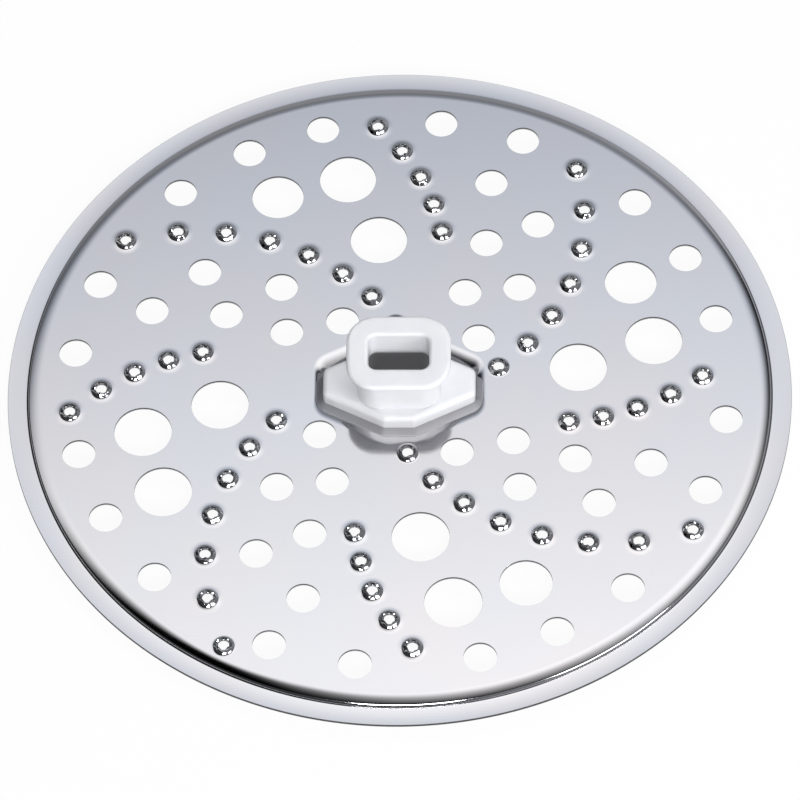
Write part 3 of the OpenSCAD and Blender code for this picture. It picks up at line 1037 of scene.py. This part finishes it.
def studio_room(scene, strength):
    """The room: pale along the table's horizon, grey at the back and the right, and dim elsewhere."""
    world = bpy.data.worlds.new("studio_room")
    scene.world = world
    world.use_nodes = True
    world.node_tree.nodes.clear()
    nodes = Nodes(world.node_tree)
    way = nodes.add("ShaderNodeSeparateXYZ", None, {
        0: nodes.add("ShaderNodeTexCoord").outputs["Generated"]}).outputs
    height = Level(nodes, way[2])
    pale = 1.0 - height.between(0.01, 0.06)
    back = 0.4 * Level(nodes, way[1]).between(0.6, 0.9) * (1.0 - height.between(0.5, 0.7)) * (1.0 - pale)
    right = 0.25 * Level(nodes, way[0]).between(0.1, 0.45) * (1.0 - pale)
    background = nodes.add("ShaderNodeBackground", None, {
        "Color": (0.93, 0.96, 1.0, 1.0), "Strength": strength + (1.0 - strength) * pale + back + right})
    nodes.feed(nodes.add("ShaderNodeOutputWorld").inputs[0], background.outputs[0])


def aim_camera(scene, studio, level):
    """Camera with the photographed view of the disc."""
    elevation, azimuth, roll = studio.elevation, studio.azimuth, studio.roll
    level_share = math.cos(elevation)
    back = Vector((math.sin(azimuth) * level_share, -math.cos(azimuth) * level_share, math.sin(elevation)))
    right = Vector((math.cos(azimuth), math.sin(azimuth), 0.0))
    up = back.cross(right)
    across = right * math.cos(roll) + up * math.sin(roll)
    upright = up * math.cos(roll) - right * math.sin(roll)
    data = bpy.data.cameras.new("camera")
    data.lens, data.sensor_width = studio.lens, SENSOR
    data.clip_start, data.clip_end = 0.05, 50.0
    camera = bpy.data.objects.new("camera", data)
    # How far the disc's centre lies from the picture's middle, in pixels
    left, above = 0.5, 11.05
    focal = studio.lens / SENSOR * PICTURE
    shift = across * left - upright * above
    place = Vector((0.0, 0.0, level)) + shift * studio.distance / focal + back * studio.distance
    camera.matrix_world = Matrix((
        (across.x, upright.x, back.x, place.x), (across.y, upright.y, back.y, place.y),
        (across.z, upright.z, back.z, place.z), (0, 0, 0, 1)))
    scene.collection.objects.link(camera)
    scene.camera = camera


class DISC_OT_light(bpy.types.Operator):
    """Set the table, the soft lights, the room and the camera"""

    bl_idname = "disc.light"
    bl_label = "Light the studio"

    def execute(self, context):
        scene, studio, sizes = context.scene, context.scene.disc_studio, context.scene.disc_sizes
        mesh = bmesh.new()
        bmesh.ops.create_grid(mesh, x_segments=2, y_segments=2, size=6.0)
        table = new_object("table", mesh)
        table.data.materials.append(pale_table(scene.disc_finishes, studio.shadow))
        ceiling_box(studio.ceiling, 0.5)
        soft_light("front", (0.02, -0.69, 0.52), (0.32, 0.21), studio.front)
        soft_light("key", (0.61, -0.44, 0.43), (0.42, 0.28), studio.key)
        studio_room(scene, studio.ambient)
        aim_camera(scene, studio, sizes.plate_level - sizes.step_height)
        scene.view_settings.view_transform = "Standard"
        return {"FINISHED"}


class DISC_PT_panel(bpy.types.Panel):
    """Steps that make the disc"""

    bl_idname = "DISC_PT_panel"
    bl_label = "Food processor disc"
    bl_space_type = "VIEW_3D"
    bl_region_type = "UI"
    bl_category = "Disc"

    def draw(self, context):
        for step in OPERATORS:
            self.layout.operator(step.bl_idname)
        for name in GROUPS:
            group = getattr(context.scene, name)
            box = self.layout.box()
            for prop in group.bl_rna.properties:
                if prop.identifier not in ("rna_type", "name"):
                    box.prop(group, prop.identifier)


GROUPS = {
    "disc_sizes": DiscSizes, "hub_sizes": HubSizes, "disc_finishes": Finishes, "disc_studio": StudioSettings}
OPERATORS = (DISC_OT_press, DISC_OT_mould, DISC_OT_light)


def register():
    """Adds the settings, the steps and the panel to Blender."""
    for each in (*GROUPS.values(), *OPERATORS, DISC_PT_panel):
        bpy.utils.register_class(each)
    for name, group in GROUPS.items():
        setattr(bpy.types.Scene, name, bpy.props.PointerProperty(type=group))


def unregister():
    """Takes them away again."""
    for name in GROUPS:
        delattr(bpy.types.Scene, name)
    for each in reversed((*GROUPS.values(), *OPERATORS, DISC_PT_panel)):
        bpy.utils.unregister_class(each)


def main():
    """Makes the disc, the hub and the studio."""
    register()
    bpy.ops.disc.press()
    bpy.ops.disc.mould()
    bpy.ops.disc.light()


if __name__ == "__main__":
    main()
